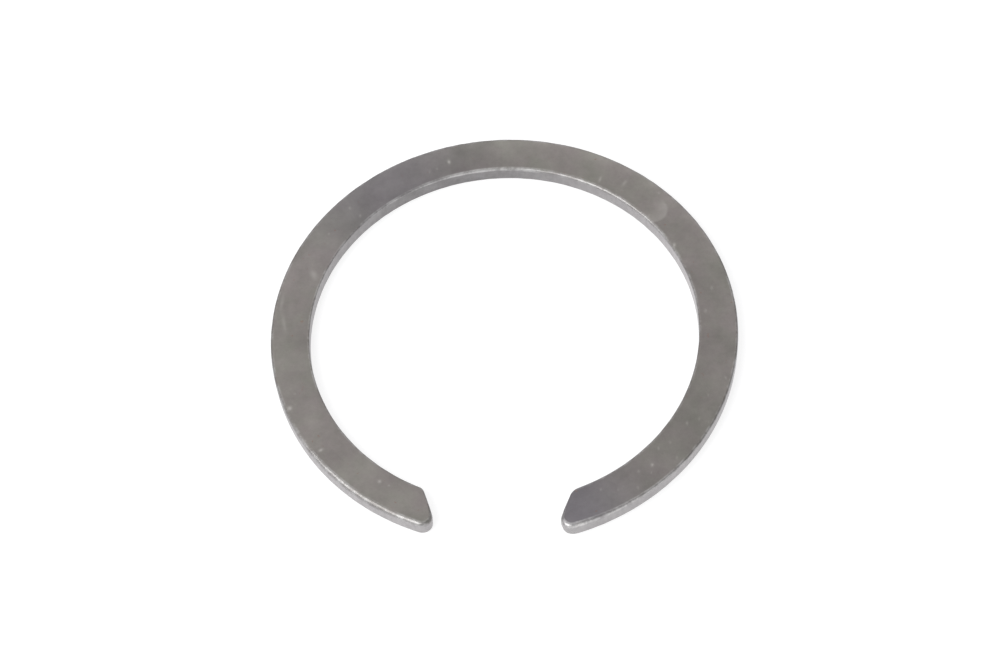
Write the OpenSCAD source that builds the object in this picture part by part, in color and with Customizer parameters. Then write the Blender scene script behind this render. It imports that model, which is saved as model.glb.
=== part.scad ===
// Retaining ring for a shaft groove: a flat open ring with two plain slanted ends and no lug holes.
// The ring lies on its underside on z = 0, its circle is centred on the z axis,
// and the gap between the two ends faces -y.

/* [Ring] */
// diameter of the inner wall that seats in the shaft groove
inner_d = 45.8; // [36:0.1:60]
// width of the flat band, from inner wall to outer wall
band_w = 4.6; // [3.6:0.1:6]
// thickness of the ring
ring_t = 2; // [1.5:0.05:3]

/* [Ends] */
// width of the gap measured where the end faces meet the inner wall
gap_inner = 17; // [14:0.1:21]
// width of the gap measured where the end faces meet the outer wall
gap_outer = 13; // [10:0.1:13.9]
// rounding of the blunt corner between end face and inner wall
heel_r = 1.7; // [1.3:0.1:2.4]
// rounding of the sharp corner between end face and outer wall
toe_r = 1.2; // [1:0.05:1.6]

/* [Edges] */
// rolled edge left all round the top face by the blanking punch
top_round = 0.25; // [0.2:0.01:0.45]
// small break all round the underside
bottom_round = 0.18; // [0.1:0.01:0.3]

/* [Hidden] */
$fn = 180;

steel = [0.51, 0.50, 0.49];

inner_r = inner_d / 2;
outer_r = inner_r + band_w;

// how far each rounded corner is set back inside the walls it joins, so that they cross cleanly
seat = 0.01;

// depth of the strip that carries the rounded edges along the end face, and depth of the cut behind it
rim_w = 2 * max(top_round, bottom_round);
cut_in = 0.6 * rim_w;

// how far the cut in the band runs into a corner, and how far round a corner goes on inside the metal
cut_lap = 0.15;
corner_lap = 60;

// the two sharp corners of the right-hand end face, before they are rounded
heel = [gap_inner / 2, -sqrt(inner_r * inner_r - gap_inner * gap_inner / 4)];
toe = [gap_outer / 2, -sqrt(outer_r * outer_r - gap_outer * gap_outer / 4)];

// unit vector along the end face from heel to toe, and the unit vector from it into the metal
along = (toe - heel) / norm(toe - heel);
inward = [-along.y, along.x];

// turn of the inward vector about z
face_turn = atan2(inward.y, inward.x);

// distance along the end face's direction from a point to a circle of radius r about the origin
function run_to_circle(start, r) =
    -(start * along) + sqrt((start * along) * (start * along) - start * start + r * r);

// centre of the rounded corner at the heel and of the one at the toe
heel_start = heel + heel_r * inward;
toe_start = heel + toe_r * inward;
heel_c = heel_start + run_to_circle(heel_start, inner_r + heel_r + seat) * along;
toe_c = toe_start + run_to_circle(toe_start, outer_r - toe_r - seat) * along;

// directions of the two corner centres seen from the ring's own centre
heel_turn = atan2(heel_c.y, heel_c.x);
toe_turn = atan2(toe_c.y, toe_c.x);

// the flat left on the end face between the two rounded corners
face_start = heel_c - heel_r * inward;
face_end = toe_c - toe_r * inward;

// quarter of a disc that fills the corner of a section; its square corner is at the disc's centre
module quarter(r, side_x, side_y) {
    intersection() {
        circle(r = r);
        translate([side_x < 0 ? -2 * r : 0, side_y < 0 ? -2 * r : 0])
            square([2 * r, 2 * r]);
    }
}

// section of a strip w deep with rounded edges on the side at x = 0, and square cut on the side at x = w
module rim_section(w) {
    translate([0, bottom_round])
        square([w, ring_t - top_round - bottom_round]);
    translate([top_round, ring_t - top_round])
        square([w - top_round, top_round]);
    translate([bottom_round, 0])
        square([w - bottom_round, bottom_round]);
    translate([top_round, ring_t - top_round])
        quarter(top_round, -1, 1);
    translate([bottom_round, bottom_round])
        quarter(bottom_round, -1, -1);
}

// section of the whole band, rounded on both sides; the two strips overlap in the middle
module band_section() {
    translate([inner_r, 0])
        rim_section(0.6 * band_w);
    translate([outer_r, 0])
        mirror([1, 0])
            rim_section(0.6 * band_w);
}

// right-hand side of the cut that opens the ring; it stays inside the rim and corners added to the end
cut_side = [
    (inner_r + cut_in) / norm(heel_c) * heel_c,
    face_start + cut_in * inward - cut_lap * along,
    face_end + cut_in * inward + cut_lap * along,
    (outer_r - cut_in) / norm(toe_c) * toe_c,
    2 * outer_r / norm(toe_c) * toe_c
];

// the even band, cut open between the two ends
module band() {
    difference() {
        rotate_extrude()
            band_section();
        translate([0, 0, -1])
            linear_extrude(height = ring_t + 2)
                polygon(concat(
                    [[0, 0]],
                    cut_side,
                    [for (i = [len(cut_side) - 1 : -1 : 0]) [-cut_side[i].x, cut_side[i].y]]
                ));
    }
}

// rim along the flat of the end face
module end_face_rim() {
    start = face_start - seat * inward;
    translate([start.x, start.y, 0])
        rotate([90, 0, face_turn])
            linear_extrude(height = norm(face_end - face_start))
                rim_section(rim_w);
}

// rounded corner of the end: a slice of a disc with rounded edges, between two directions;
// its core, which lies inside the band, is left out
module end_corner(centre, r, first_turn, last_turn) {
    translate([centre.x, centre.y, 0])
        rotate_extrude(angle = last_turn - first_turn + 2 * corner_lap, start = first_turn - corner_lap)
            translate([r, 0])
                mirror([1, 0])
                    rim_section(0.9 * r);
}

// one plain slanted end of the band, on the +x side of the gap
module band_end() {
    end_face_rim();
    end_corner(heel_c, heel_r, heel_turn + 180, face_turn + 180);
    end_corner(toe_c, toe_r, face_turn + 180, toe_turn + 360);
}

module ring() {
    color(steel) {
        band();
        band_end();
        mirror([1, 0, 0])
            band_end();
    }
}

ring();
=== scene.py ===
"""Circlip retaining ring: its looks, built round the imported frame.

One piece shows, the ring. Its surface is one closed skin worked out from the
same circles, corners and edge radii as the solid: a wall carried round the
outline, and a top and an underside laid between the two sides of the band.
"""
import math

import bpy
import numpy as np
from mathutils import Euler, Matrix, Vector


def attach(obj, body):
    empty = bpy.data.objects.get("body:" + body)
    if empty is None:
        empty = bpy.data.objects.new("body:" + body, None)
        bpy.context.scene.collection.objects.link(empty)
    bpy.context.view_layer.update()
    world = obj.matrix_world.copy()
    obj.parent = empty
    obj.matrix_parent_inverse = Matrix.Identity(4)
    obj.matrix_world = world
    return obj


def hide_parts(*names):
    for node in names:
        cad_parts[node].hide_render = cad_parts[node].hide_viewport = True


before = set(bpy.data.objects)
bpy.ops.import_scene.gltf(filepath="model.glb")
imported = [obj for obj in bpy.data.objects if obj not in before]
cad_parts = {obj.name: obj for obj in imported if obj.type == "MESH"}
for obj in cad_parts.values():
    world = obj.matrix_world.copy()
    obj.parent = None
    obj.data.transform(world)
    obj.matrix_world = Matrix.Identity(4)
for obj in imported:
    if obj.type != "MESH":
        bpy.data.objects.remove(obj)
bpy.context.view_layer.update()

MM = 0.001

# the ring's own sizes, in millimetres
INNER_R = 22.9
OUTER_R = 27.5
RING_T = 2.0
GAP_INNER = 17.0
GAP_OUTER = 13.0
BOTTOM_ROUND = 0.18

# middle of the band, which parts what belongs to the inner wall from what belongs to the outer wall
MID_R = 25.2

# rounded corners of the left end and of the right end, heel then toe: the two ends are not quite alike
LEFT_CORNERS = (1.1, 1.2)
RIGHT_CORNERS = (1.6, 1.2)

# radius of the rolled top edge along the outer wall, round a toe, and along the inner wall and end face
ROLL_OUTER = 0.22
ROLL_TOE = 0.50
ROLL_INNER = 0.16

# how far the torn band under the break line draws in along the walls, round the left toe and the right toe
TORN_WALL = 0.02
TORN_LEFT_TOE = 0.04
TORN_RIGHT_TOE = 0.13

# lengths over which the roll and the torn band change from one stretch of the outline to the next
ROLL_REACH = 1.6
TORN_REACH = 0.8

# level of the break line, above which the wall is smoothly sheared
BREAK_Z = 0.80

# points along each long arc of the outline, and along each part of an end
ARC_POINTS = 1090
HEEL_POINTS = 22
FACE_POINTS = 14
TOE_POINTS = 48
END_POINTS = HEEL_POINTS + FACE_POINTS + TOE_POINTS
OUTLINE_POINTS = 2 * (ARC_POINTS + END_POINTS)

# quads across the band on the top face and on the underside
TOP_COLUMNS = 26
LOW_COLUMNS = 8

# how far the skin's outer walls lie inside the solid's, which has flats between points on its circle
SKIN_IN = 0.012


def hump(where, centre, width):
    """Smooth hump of height 1: exp(-((where - centre) / width)^2)."""
    return np.exp(-((where - centre) / width) ** 2)


# ---------------------------------------------------------------- outline

def corner_centre(heel, along, inward, depth, radius):
    """Point at that depth behind the end face and at that radius from the ring's centre."""
    start = heel + depth * inward
    b = start @ along
    return start + (-b + math.sqrt(b * b - start @ start + radius * radius)) * along


def arc(centre, radius, first, last, count, side=1.0):
    """Points centre + radius (cos a, sin a) for a from first to last, and outward directions
    side (cos a, sin a)."""
    a = np.linspace(first, last, count, endpoint=False)
    ray = np.stack([np.cos(a), np.sin(a)], 1)
    return centre + radius * ray, side * ray


def straight(start, stop, outward, count):
    """Points evenly from start to stop, all facing outward."""
    t = np.linspace(0, 1, count, endpoint=False)[:, None]
    return start + t * (stop - start), np.repeat(outward[None], count, 0)


def end_corners(heel_r, toe_r):
    """Right-hand end of the band: centres of its two rounded corners, the end points of the flat between
    them, the direction out of the flat, and the angles at which the arcs start and how far they sweep."""
    heel = np.array([GAP_INNER / 2, -math.sqrt(INNER_R ** 2 - GAP_INNER ** 2 / 4)])
    toe = np.array([GAP_OUTER / 2, -math.sqrt(OUTER_R ** 2 - GAP_OUTER ** 2 / 4)])
    along = (toe - heel) / np.linalg.norm(toe - heel)
    inward = np.array([-along[1], along[0]])
    heel_c = corner_centre(heel, along, inward, heel_r, INNER_R + heel_r)
    toe_c = corner_centre(heel, along, inward, toe_r, OUTER_R - toe_r)
    face_a = math.atan2(-inward[1], -inward[0]) % (2 * math.pi)
    heel_a = math.atan2(heel_c[1], heel_c[0])
    toe_a = math.atan2(toe_c[1], toe_c[0])
    return (heel_c, toe_c, heel_c - heel_r * inward, toe_c - toe_r * inward, -inward, heel_a, toe_a, face_a)


def outline():
    """Closed outline of the band, anticlockwise: outer circle, left toe, left end face, left heel, inner
    circle, and the same three on the right, each tangent to its neighbours. It begins inside the right toe,
    so that its first half is the outer side of the band and its second half the inner side. Gives points,
    outward directions, and at each point the radius of the rolled edge and the depth of the torn band."""
    flip = np.array([-1.0, 1.0])
    zero = np.zeros(2)
    half_turn = math.pi
    l_heel, l_toe, l_in, l_out, l_way, l_heel_a, l_toe_a, l_face_a = end_corners(*LEFT_CORNERS)
    r_heel, r_toe, r_in, r_out, r_way, r_heel_a, r_toe_a, r_face_a = end_corners(*RIGHT_CORNERS)
    outer = arc(zero, OUTER_R, r_toe_a, half_turn - l_toe_a, ARC_POINTS)
    inner = arc(zero, INNER_R, half_turn - l_heel_a, r_heel_a, ARC_POINTS, -1.0)
    ends = [
        arc(l_toe * flip, LEFT_CORNERS[1], half_turn - l_toe_a, 3 * half_turn - l_face_a, TOE_POINTS),
        straight(l_out * flip, l_in * flip, l_way * flip, FACE_POINTS),
        arc(l_heel * flip, LEFT_CORNERS[0], half_turn - l_face_a, -l_heel_a, HEEL_POINTS),
        arc(r_heel, RIGHT_CORNERS[0], r_heel_a + half_turn, r_face_a, HEEL_POINTS),
        straight(r_in, r_out, r_way, FACE_POINTS),
        arc(r_toe, RIGHT_CORNERS[1], r_face_a, r_toe_a + 2 * half_turn, TOE_POINTS),
    ]
    turn = np.degrees(np.linspace(r_toe_a, half_turn - l_toe_a, ARC_POINTS, endpoint=False))
    back = np.degrees(np.linspace(half_turn - l_heel_a, r_heel_a, ARC_POINTS, endpoint=False))
    outer_roll = ROLL_OUTER + 0.34 * hump(turn, 238, 28) + 0.25 * hump(turn, -72, 16)
    inner_roll = ROLL_INNER + 0.24 * hump(back, 68, 42)
    rolls = [outer_roll, ROLL_TOE, ROLL_INNER, ROLL_INNER, inner_roll, ROLL_INNER, ROLL_INNER, ROLL_TOE]
    torns = [TORN_WALL, TORN_LEFT_TOE, *[TORN_WALL] * 5, TORN_RIGHT_TOE]
    runs = [outer, *ends[:3], inner, *ends[3:]]
    points = np.concatenate([r[0] for r in runs])
    outward = np.concatenate([r[1] for r in runs])
    roll = np.concatenate([np.broadcast_to(v, len(r[0])) for r, v in zip(runs, rolls)])
    torn = np.concatenate([np.broadcast_to(v, len(r[0])) for r, v in zip(runs, torns)])
    lead = END_POINTS // 2
    points, outward, roll, torn = [np.roll(a, lead, 0) for a in (points, outward, roll, torn)]
    return points, outward, eased(points, roll, ROLL_REACH), eased(points, torn, TORN_REACH)


def eased(points, values, reach):
    """Values along a closed outline with their jumps turned into slopes: each becomes the mean over reach
    millimetres to either side, weighted by a raised cosine."""
    step = np.linalg.norm(np.roll(points, -1, 0) - points, axis=1)
    place = np.concatenate([[0], np.cumsum(step)])
    even = np.linspace(0, place[-1], 4096, endpoint=False)
    row = np.interp(even, place, np.append(values, values[0]))
    away = np.minimum(even, place[-1] - even)
    weight = np.where(away < reach, 1 + np.cos(np.pi * away / reach), 0)
    row = np.fft.irfft(np.fft.rfft(row) * np.fft.rfft(weight / weight.sum()), len(row))
    return np.interp(place[:-1], np.append(even, place[-1]), np.append(row, row[0]))


# ---------------------------------------------------------------- skin of the ring

def waves(points, size, count, seed):
    """Smooth uneven field with a spread of about one over points in millimetres: the sum of count sine
    waves of wavelengths round size, each along its own direction and from its own start."""
    rng = np.random.default_rng(seed)
    way = rng.normal(size=(count, 3))
    way /= np.linalg.norm(way, axis=1, keepdims=True)
    turns = 2 * math.pi / (size * rng.uniform(0.7, 1.6, count))
    start = rng.uniform(0, 2 * math.pi, count)
    return np.sin(points @ (way * turns[:, None]).T + start).sum(1) * math.sqrt(2 / count)


def wall_profile(roll, torn):
    """Section of the wall at each outline point, from the top face down to the underside: the rolled top
    edge as a quarter circle of radius roll, the smooth sheared band, the break line with the torn band
    drawn in under it by torn, and the small round of the bottom edge as a quarter circle. Gives, as arrays
    of level by point, how far in each point lies, its height and the upward part of its normal."""
    a = np.radians(np.linspace(90, 0, 10))[:, None]
    b = np.radians(np.linspace(0, 90, 6))[:, None]
    one = np.ones_like(roll)[None]
    shear = np.array([0.2, 0.45, 0.75, 0.95])[:, None]
    shear_z = (RING_T - roll) * (1 - shear) + BREAK_Z * shear
    ripple = np.array([0.0, 0.0, 0.001, 0.005])[:, None]
    torn_z = np.array([0.76, 0.68, 0.52, 0.36, 0.26])[:, None]
    torn_in = np.array([0.35, 0.55, 0.75, 0.9, 1.0])[:, None]
    inset = np.concatenate([roll * (1 - np.cos(a)), ripple * one, torn_in * torn,
                            torn + BOTTOM_ROUND * (1 - np.cos(b))])
    height = np.concatenate([RING_T - roll * (1 - np.sin(a)), shear_z, torn_z * one,
                             BOTTOM_ROUND * (1 - np.sin(b)) * one])
    upright = np.zeros((len(shear) + len(torn_z), 1))
    slope = np.concatenate([np.sin(a) * one, upright * one, -np.sin(b) * one])
    return inset, height, slope


def rungs(edge, columns):
    """Straight rungs between the two sides of a closed edge loop, without the points on the loop itself."""
    half = len(edge) // 2
    a = edge[1:half]
    b = edge[:half:-1]
    t = np.linspace(0, 1, columns + 1)[1:-1]
    return a[:, None] + (b - a)[:, None] * t[None, :, None]


def cap_faces(loop, first, columns):
    """Faces of a cap that looks up: quads between neighbouring rungs, and a fan of triangles at each end.
    loop is the number of the loop's first point, and first that of the first point laid on a rung."""
    half = OUTLINE_POINTS // 2
    laid = first + np.arange((half - 1) * (columns - 1)).reshape(half - 1, columns - 1)
    side_a = loop + np.arange(1, half)
    side_b = loop + np.arange(OUTLINE_POINTS - 1, half, -1)
    grid = np.concatenate([side_a[:, None], laid, side_b[:, None]], 1)
    quads = np.stack([grid[:-1, :-1], grid[1:, :-1], grid[1:, 1:], grid[:-1, 1:]], 2).reshape(-1, 4)
    tip = np.full(columns, loop)
    tail = np.full(columns, loop + half)
    tris = np.concatenate([np.stack([tip, grid[0, :-1], grid[0, 1:]], 1),
                           np.stack([tail, grid[-1, 1:], grid[-1, :-1]], 1)])
    return quads, tris


def blot(points, x, y, wide, tall, turn=0.0):
    """Soft spot on the top face: exp(-(u/wide)^2 - (v/tall)^2) about (x, y), with u and v turned by turn
    degrees."""
    c = math.cos(math.radians(turn))
    s = math.sin(math.radians(turn))
    dx = points[:, 0] - x
    dy = points[:, 1] - y
    return np.exp(-((dx * c + dy * s) / wide) ** 2 - ((dy * c - dx * s) / tall) ** 2)


# marks on the top face: place x and y, half-widths along and across, turn in degrees, strength
MARKS = (
    (-23, 7.5, 0.8, 0.4, 115, 0.4),
    (-26.5, 3.5, 1.1, 0.2, 86, 0.3),
    (-26, 0.5, 1.1, 0.2, 102, 0.3),
    (14, 21, 0.5, 0.2, 60, 0.4),
    (11, 21.5, 0.4, 0.13, 75, 0.6),
    (-7.5, 24, 0.16, 0.26, 20, 1.0),
    (-24.5, -11, 0.26, 0.26, 0, 0.9),
    (-20.5, -16.5, 0.24, 0.16, 40, 0.9),
    (-13.5, -20.5, 0.2, 0.2, 0, 0.7),
    (17.5, -18, 0.16, 0.16, 0, 0.8),
    (20, 12, 0.14, 0.3, 0, 1.0),
)

# small specks: how many on the right front, and how many over the rest of the ring
FRONT_SPECKS = 13
OTHER_SPECKS = 11
SPECKS = FRONT_SPECKS + OTHER_SPECKS

# crescent mark: centre and radius of its sharp outer side
CRESCENT_X = 17.35
CRESCENT_Y = 17.1
CRESCENT_R = 1.9


def specks():
    """Small specks scattered at random over the band, as marks."""
    rng = np.random.default_rng(17)
    angle = np.radians(np.append(rng.uniform(-62, -5, FRONT_SPECKS), rng.uniform(5, 240, OTHER_SPECKS)))
    far = rng.uniform(23.4, 27.0, SPECKS)
    wide = rng.uniform(0.09, 0.15, SPECKS)
    tall = rng.uniform(0.1, 0.28, SPECKS)
    turn = rng.uniform(-20, 30, SPECKS)
    strength = rng.uniform(0.2, 0.45, SPECKS)
    return zip(far * np.cos(angle), far * np.sin(angle), wide, tall, turn, strength)


def rubbed_spots(points):
    """Pale rubbed marks and knocks on the top face: faint smudges and streaks, a few knocks about 0.4 mm
    wide, small specks, and a crescent at the back right, sharp on its outer side and fading inwards."""
    dx = points[:, 0] - CRESCENT_X
    dy = points[:, 1] - CRESCENT_Y
    deep = CRESCENT_R - np.hypot(dx, dy)
    side = np.clip(0.5 + 0.5 * (dx - dy), 0, 1)
    crescent = np.clip(deep / 0.15, 0, 1) * hump(deep, 0, 1.2) * side
    return sum(m[5] * blot(points, *m[:5]) for m in (*MARKS, *specks())) + 0.32 * crescent


def turned(co):
    """Angle in degrees round the ring from +x, between -90 and 270, and distance from its axis."""
    angle = np.degrees(np.arctan2(co[:, 1], co[:, 0]))
    return np.where(angle < -90, angle + 360, angle), np.hypot(co[:, 0], co[:, 1])


def tone_and_painted_light(co):
    """Slow drift of the skin's lightness, painted light and shade laid over some of the finish's own
    unevenness: the left end paler than the right one, the outer side of the band paler than the inner side,
    most of all at the back, where it is a painted reflection, pale stretches at the back and on the left,
    and a dark right end."""
    angle, r = turned(co)
    drift = 0.87 + co[:, 0] * (0.00026 * co[:, 1] + 0.0004) + 0.02 * (r - MID_R)
    drift += 0.13 * hump(angle, 162, 17) - 0.02 * hump(angle, 128, 18)
    drift += 0.04 * hump(angle, 85, 22) - 0.04 * hump(angle, 196, 14)
    drift -= 0.09 * hump(angle, -74, 12)
    return drift + 0.14 * hump(r, 27.6, 1.1) * hump(angle, 75, 60)


def cool_tint(co):
    """Where the skin leans to violet: the right end and a long patch at the back left."""
    angle = turned(co)[0]
    return 0.95 * hump(angle, -70, 14) + 0.7 * hump(angle, 126, 22)


def edge_wear_and_highlight(co):
    """Runs of the rolled edge that are rubbed right through and carry a painted highlight as well: one at
    each toe, one beside the right toe, and the inner edge at the back."""
    angle, r = turned(co)
    at_toes = co[:, 1] < -24
    left = 0.4 * np.exp(-((co[:, 0] + 10.0) / 1.4) ** 4) * at_toes
    right = 0.55 * np.exp(-((co[:, 0] - 9.0) / 1.4) ** 4) * at_toes
    outer = 0.4 * hump(angle, -58, 14) * (r > MID_R)
    return left + right + outer + 0.4 * hump(angle, 100, 26) * (r < MID_R)


def painted_wall_light(co):
    """Painted reflections and painted shade on the walls, as lightness against the even tone: the walls
    brighter overall, the inner wall duller at the back and brighter on the right, the outer wall dull on the
    far left."""
    angle, r = turned(co)
    inside = 1 / (1 + np.exp((r - MID_R) * 3))
    inner = -0.54 * hump(angle, 107, 36) + 0.33 * hump(angle, 14, 22) - 0.12
    outer = -0.65 * hump(angle, 184, 12) - 0.10 * hump(angle, -60, 15)
    return 1.24 + inside * inner + (1 - inside) * outer


def ring_skin():
    """Closed skin of the ring. Wall: every outline point at every level of the wall's section,
    P(u, v) = (outline(u) - inset(u, v) outward(u), height(u, v)). Top and underside: straight rungs from
    the outer side of the band to the inner side. Every point then sinks along its normal by up to a few
    hundredths of a millimetre of uneven wear, most on the two edges. Gives points in metres, faces, and
    named values for the finish, some of them painted light and shade."""
    points, outward, roll, torn = outline()
    inset, height, slope = wall_profile(roll, torn)
    levels, count = inset.shape
    inset = inset + np.where(np.hypot(*points.T) < MID_R, 0.0, SKIN_IN)
    wall = np.concatenate([points[None] - outward[None] * inset[:, :, None], height[:, :, None]], 2)
    wall_n = np.concatenate([outward[None] * np.sqrt(1 - slope ** 2)[:, :, None], slope[:, :, None]], 2)
    top = rungs(wall[0], TOP_COLUMNS).reshape(-1, 3)
    low = rungs(wall[-1], LOW_COLUMNS).reshape(-1, 3)
    co = np.concatenate([wall.reshape(-1, 3), top, low])
    normal = np.concatenate([wall_n.reshape(-1, 3), np.tile([0.0, 0.0, 1.0], (len(top), 1)),
                             np.tile([0.0, 0.0, -1.0], (len(low), 1))])
    rest = np.zeros(len(top) + len(low))
    steep = np.concatenate([(1 - np.abs(slope)).ravel() ** 0.7, rest])
    high_edge = np.concatenate([hump(slope, 0.6, 0.45).ravel(), rest])
    low_edge = np.concatenate([hump(slope, -0.6, 0.45).ravel(), rest])
    upward = np.clip(normal[:, 2], 0, 1)

    rub = 0.007 * waves(co, 2.4, 40, 3) + 0.004 * waves(co, 0.9, 40, 5)
    soft = 0.0016 * waves(co, 5.0, 40, 7)
    spots = rubbed_spots(co) * upward ** 4
    chipped = 0.006 * waves(co, 1.3, 40, 11) - 0.008
    shift = soft + high_edge * (rub - 0.010) + low_edge * chipped - 0.003
    shift = shift - 0.008 * np.clip(spots, 0, 1)
    co = co + normal * np.minimum(shift, -0.0005)[:, None]

    here = np.arange(count)[None]
    beside = (here + 1) % count
    level = np.arange(levels - 1)[:, None] * count
    walls = np.stack([level + here, level + count + here, level + count + beside, level + beside], 2)
    top_q, top_t = cap_faces(0, levels * count, TOP_COLUMNS)
    low_q, low_t = cap_faces((levels - 1) * count, levels * count + len(top), LOW_COLUMNS)
    quads = np.concatenate([walls.reshape(-1, 4), top_q, low_q[:, ::-1]])
    tris = np.concatenate([top_t, low_t[:, ::-1]])
    values = {
        "steep": steep,
        "edge": high_edge,
        # worn: runs of the rubbed edge that are also a painted highlight
        "worn_and_highlight": high_edge * edge_wear_and_highlight(co),
        "spots": spots,
        # tone: painted light and shade over the finish's own slow drift of lightness
        "tone": tone_and_painted_light(co),
        "cool": cool_tint(co),
        # lit: painted reflections and painted shade on the walls
        "lit": 1 + (painted_wall_light(co) - 1) * steep ** 2,
    }
    return co * MM, quads, tris, values


def make_mesh(name, co, quads, tris, values):
    """Mesh object from whole arrays of points, quads and triangles, smooth all over, with named values on
    its points."""
    mesh = bpy.data.meshes.new(name)
    loops = np.concatenate([quads.ravel(), tris.ravel()]).astype(np.int32)
    sizes = np.concatenate([np.full(len(quads), 4), np.full(len(tris), 3)])
    starts = np.concatenate([[0], np.cumsum(sizes)[:-1]]).astype(np.int32)
    mesh.vertices.add(len(co))
    mesh.vertices.foreach_set("co", co.ravel().astype(np.float32))
    mesh.loops.add(len(loops))
    mesh.loops.foreach_set("vertex_index", loops)
    mesh.polygons.add(len(sizes))
    mesh.polygons.foreach_set("loop_start", starts)
    mesh.polygons.foreach_set("use_smooth", np.ones(len(sizes), bool))
    mesh.update(calc_edges=True)
    mesh.validate()
    for key, value in values.items():
        mesh.attributes.new(key, "FLOAT", "POINT").data.foreach_set("value", value.astype(np.float32))
    piece = bpy.data.objects.new(name, mesh)
    bpy.context.scene.collection.objects.link(piece)
    return piece


# ---------------------------------------------------------------- materials

def linear(hex_colour):
    """sRGB hex colour as linear red, green, blue and alpha."""
    parts = [int(hex_colour[i:i + 2], 16) / 255 for i in (1, 3, 5)]
    return tuple(c / 12.92 if c <= 0.04045 else ((c + 0.055) / 1.055) ** 2.4 for c in parts) + (1.0,)


def add(tree, kind, settings=None, **links):
    """Adds a node with its settings; a link's name is the input's name with _ for a space, or i and a
    number, and its value is an output socket or a constant."""
    node = tree.nodes.new(kind)
    for key, value in (settings or {}).items():
        setattr(node, key, value)
    for key, value in links.items():
        numbered = key[0] == "i" and key[1:].isdigit()
        socket = node.inputs[int(key[1:]) if numbered else key.replace("_", " ")]
        if isinstance(value, bpy.types.NodeSocket):
            tree.links.new(value, socket)
        else:
            socket.default_value = value
    return node


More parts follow.
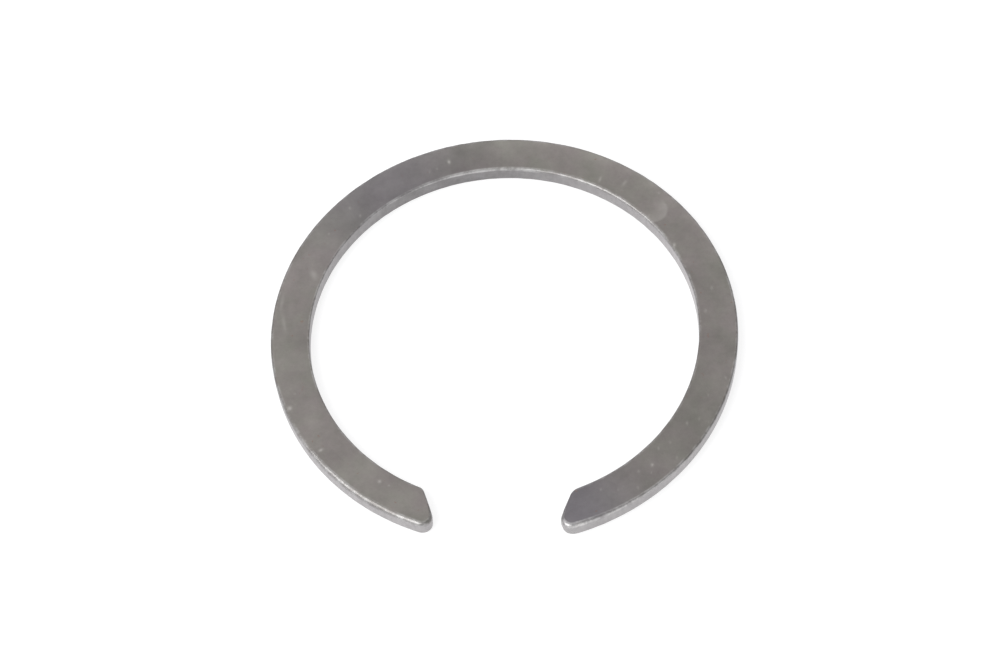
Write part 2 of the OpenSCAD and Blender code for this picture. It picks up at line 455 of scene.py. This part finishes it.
def spring_steel():
    """Blanked spring steel, hardened, phosphated and oiled: a dull grey-brown skin with clouds a few
    millimetres wide where the bath took unevenly, a fine crystal grain, a few specks of rust, and paler
    metal on the sheared walls and where edges and high spots have been rubbed. Over this lie painted light
    and shade: a slow drift of lightness over the skin, painted reflections and shade on the walls, and a
    painted highlight on the rolled edge."""
    material = bpy.data.materials.new("phosphated_spring_steel")
    material.use_nodes = True
    tree = material.node_tree
    tree.nodes.clear()
    place = add(tree, "ShaderNodeTexCoord").outputs["Object"]

    # clouds of the bath: 4 mm wide in hue, from violet-grey to olive-grey, and 5 mm wide in depth
    hue = add(tree, "ShaderNodeTexNoise", None, Vector=place, Scale=230.0, Detail=4.0, Roughness=0.6)
    hue_t = add(tree, "ShaderNodeMapRange", None, Value=hue.outputs["Fac"], From_Min=0.36, From_Max=0.64)
    tone = add(tree, "ShaderNodeMix", {"data_type": "RGBA"}, i0=hue_t.outputs["Result"],
               i6=linear("#857f7d"), i7=linear("#82807a"))
    cool = add(tree, "ShaderNodeAttribute", {"attribute_name": "cool"}).outputs["Fac"]
    cooled = add(tree, "ShaderNodeMix", {"data_type": "RGBA"}, i0=cool, i6=tone.outputs[2],
                 i7=linear("#7f7b80"))
    deep = add(tree, "ShaderNodeTexNoise", None, Vector=place, Scale=190.0, Detail=7.0, Roughness=0.74)
    deep_t = add(tree, "ShaderNodeMapRange", None, Value=deep.outputs["Fac"], From_Min=0.3, From_Max=0.7,
                 To_Min=0.81, To_Max=1.18)
    # painted light and shade: the slow lightness drift over the skin multiplies the depth of the clouds
    drift = add(tree, "ShaderNodeAttribute", {"attribute_name": "tone"}).outputs["Fac"]
    depth = add(tree, "ShaderNodeMath", {"operation": "MULTIPLY"}, i0=deep_t.outputs["Result"], i1=drift)
    toned = add(tree, "ShaderNodeMix", {"data_type": "RGBA", "blend_type": "MULTIPLY"}, i0=1.0,
                i6=cooled.outputs[2], i7=depth.outputs[0])

    # rust: rare specks 0.2 to 0.4 mm wide
    rust = add(tree, "ShaderNodeTexNoise", None, Vector=place, Scale=1400.0, Detail=2.0, Roughness=0.5)
    rust_t = add(tree, "ShaderNodeMapRange", None, Value=rust.outputs["Fac"], From_Min=0.70, From_Max=0.78,
                 To_Max=0.5)
    rusted = add(tree, "ShaderNodeMix", {"data_type": "RGBA"}, i0=rust_t.outputs["Result"],
                 i6=toned.outputs[2], i7=linear("#7c5a4a"))

    # paler walls, streaked up and down by the shear, 0.6 mm wide, and made lighter or duller round the ring
    # by painted reflections and painted shade
    steep = add(tree, "ShaderNodeAttribute", {"attribute_name": "steep"}).outputs["Fac"]
    lit = add(tree, "ShaderNodeAttribute", {"attribute_name": "lit"}).outputs["Fac"]
    drawn = add(tree, "ShaderNodeMapping", None, Vector=place, Scale=(1.0, 1.0, 0.35))
    streak = add(tree, "ShaderNodeTexNoise", None, Vector=drawn.outputs["Vector"], Scale=1600.0, Detail=3.0,
                 Roughness=0.6)
    streak_t = add(tree, "ShaderNodeMapRange", None, Value=streak.outputs["Fac"], From_Min=0.3, From_Max=0.7,
                   To_Min=0.90, To_Max=1.10)
    wall_t = add(tree, "ShaderNodeMath", {"operation": "MULTIPLY"}, i0=streak_t.outputs["Result"], i1=lit)
    wall = add(tree, "ShaderNodeMix", {"data_type": "RGBA", "blend_type": "MULTIPLY"}, i0=1.0,
               i6=linear("#999697"), i7=wall_t.outputs[0])
    walled = add(tree, "ShaderNodeMix", {"data_type": "RGBA"}, i0=steep, i6=rusted.outputs[2],
                 i7=wall.outputs[2])

    # the rolled edge, rubbed bright in runs 1 to 3 mm long with breaks 0.3 mm wide: paler rubbed metal that
    # is also a painted highlight, brightest at the toes, beside the right toe and on the inner edge at the
    # back
    edge = add(tree, "ShaderNodeAttribute", {"attribute_name": "edge"}).outputs["Fac"]
    run = add(tree, "ShaderNodeTexNoise", None, Vector=place, Scale=650.0, Detail=5.0, Roughness=0.75)
    run_t = add(tree, "ShaderNodeMapRange", None, Value=run.outputs["Fac"], From_Min=0.42, From_Max=0.62)
    worn_and_highlight = add(tree, "ShaderNodeAttribute", {"attribute_name": "worn_and_highlight"}).outputs["Fac"]
    rub = add(tree, "ShaderNodeMath", {"operation": "MULTIPLY_ADD", "use_clamp": True}, i0=edge,
              i1=run_t.outputs["Result"], i2=worn_and_highlight)
    bare_and_highlight = add(tree, "ShaderNodeMix", {"data_type": "RGBA"}, i0=worn_and_highlight, i6=linear("#b1b0b0"),
               i7=linear("#dcdad9"))
    edged = add(tree, "ShaderNodeMix", {"data_type": "RGBA"}, i0=rub.outputs[0], i6=walled.outputs[2],
                i7=bare_and_highlight.outputs[2])

    # pale marks and knocks on the top face
    spots = add(tree, "ShaderNodeAttribute", {"attribute_name": "spots"}).outputs["Fac"]
    spots_t = add(tree, "ShaderNodeMath", {"operation": "MULTIPLY", "use_clamp": True}, i0=spots, i1=0.6)
    marked = add(tree, "ShaderNodeMix", {"data_type": "RGBA"}, i0=spots_t.outputs[0], i6=edged.outputs[2],
                 i7=linear("#bdbab6"))

    # a little smoother where it is rubbed
    gloss = add(tree, "ShaderNodeMapRange", None, Value=rub.outputs[0], To_Min=0.40, To_Max=0.36)

    # crystal grain of the phosphate, really about 0.02 mm, drawn at 0.08 mm so that it shows
    grain = add(tree, "ShaderNodeTexNoise", None, Vector=place, Scale=12000.0, Detail=2.0, Roughness=0.6)
    bump = add(tree, "ShaderNodeBump", None, Strength=0.25, Distance=0.00002, Height=grain.outputs["Fac"])

    shader = add(tree, "ShaderNodeBsdfPrincipled", None, Base_Color=marked.outputs[2], Metallic=0.75,
                 Roughness=gloss.outputs["Result"], Normal=bump.outputs["Normal"])
    add(tree, "ShaderNodeOutputMaterial", None, Surface=shader.outputs["BSDF"])
    return material


def white_floor():
    """Matt white studio sheet, lit from under as well, so that it stays white round the ring."""
    material = bpy.data.materials.new("white_studio_sheet")
    material.use_nodes = True
    tree = material.node_tree
    tree.nodes.clear()
    shader = add(tree, "ShaderNodeBsdfPrincipled", None, Base_Color=linear("#a2a2a3"), Roughness=0.9,
                 Emission_Color=linear("#ffffff"), Emission_Strength=0.74)
    add(tree, "ShaderNodeOutputMaterial", None, Surface=shader.outputs["BSDF"])
    return material


# ---------------------------------------------------------------- ring

ring = make_mesh("ring_skin", *ring_skin())
ring.data.materials.append(spring_steel())
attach(ring, "root")
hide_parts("ring")


# ---------------------------------------------------------------- studio

def floor_sheet(half):
    """Flat square sheet of side 2 half on z = 0, centred under the ring."""
    mesh = bpy.data.meshes.new("floor")
    corners = [(-half, -half, 0), (half, -half, 0), (half, half, 0), (-half, half, 0)]
    mesh.from_pydata(corners, [], [(0, 1, 2, 3)])
    piece = bpy.data.objects.new("floor", mesh)
    bpy.context.scene.collection.objects.link(piece)
    return piece


floor = floor_sheet(3.0)
floor.data.materials.append(white_floor())


def softbox(name, way, far, side, power):
    """Square softbox at that distance in that direction from the ring, turned to face it."""
    light = bpy.data.lights.new(name, "AREA")
    light.shape = "SQUARE"
    light.size = side
    light.energy = power
    lamp = bpy.data.objects.new(name, light)
    bpy.context.scene.collection.objects.link(lamp)
    ray = Vector(way).normalized()
    lamp.location = ray * far
    lamp.rotation_euler = ray.to_track_quat("Z", "Y").to_euler()


softbox("key_softbox", (-0.56, -0.37, 0.74), 0.6, 0.48, 2.5)
softbox("front_softbox", (0.45, -0.85, 0.34), 0.9, 0.8, 1.2)
softbox("overhead_softbox", (-0.1, 0.5, 1.0), 0.7, 0.5, 0.8)

world = bpy.data.worlds.new("studio")
bpy.context.scene.world = world
world.use_nodes = True
background = world.node_tree.nodes["Background"]
background.inputs["Color"].default_value = linear("#ffffff")
background.inputs["Strength"].default_value = 0.45
bpy.context.scene.view_settings.view_transform = "Standard"

# camera on a long lens, looking down on the ring from in front
AZIMUTH = math.radians(5.54)
ELEVATION = math.radians(58.31)
TILT = math.radians(-4.31)
DISTANCE = 0.322
camera_data = bpy.data.cameras.new("camera")
camera_data.lens = 98.1
camera_data.sensor_width = 36.0
camera_data.shift_x = -0.00445
camera_data.shift_y = 0.0046
camera_data.clip_start = 0.01
camera_data.clip_end = 20.0
camera = bpy.data.objects.new("camera", camera_data)
bpy.context.scene.collection.objects.link(camera)
level_ray = Vector((math.sin(AZIMUTH), -math.cos(AZIMUTH), 0))
back = level_ray * math.cos(ELEVATION) + Vector((0, 0, math.sin(ELEVATION)))
camera.location = back * DISTANCE
aim = back.to_track_quat("Z", "Y")
camera.rotation_euler = (aim @ Euler((0, 0, TILT)).to_quaternion()).to_euler()
bpy.context.scene.camera = camera
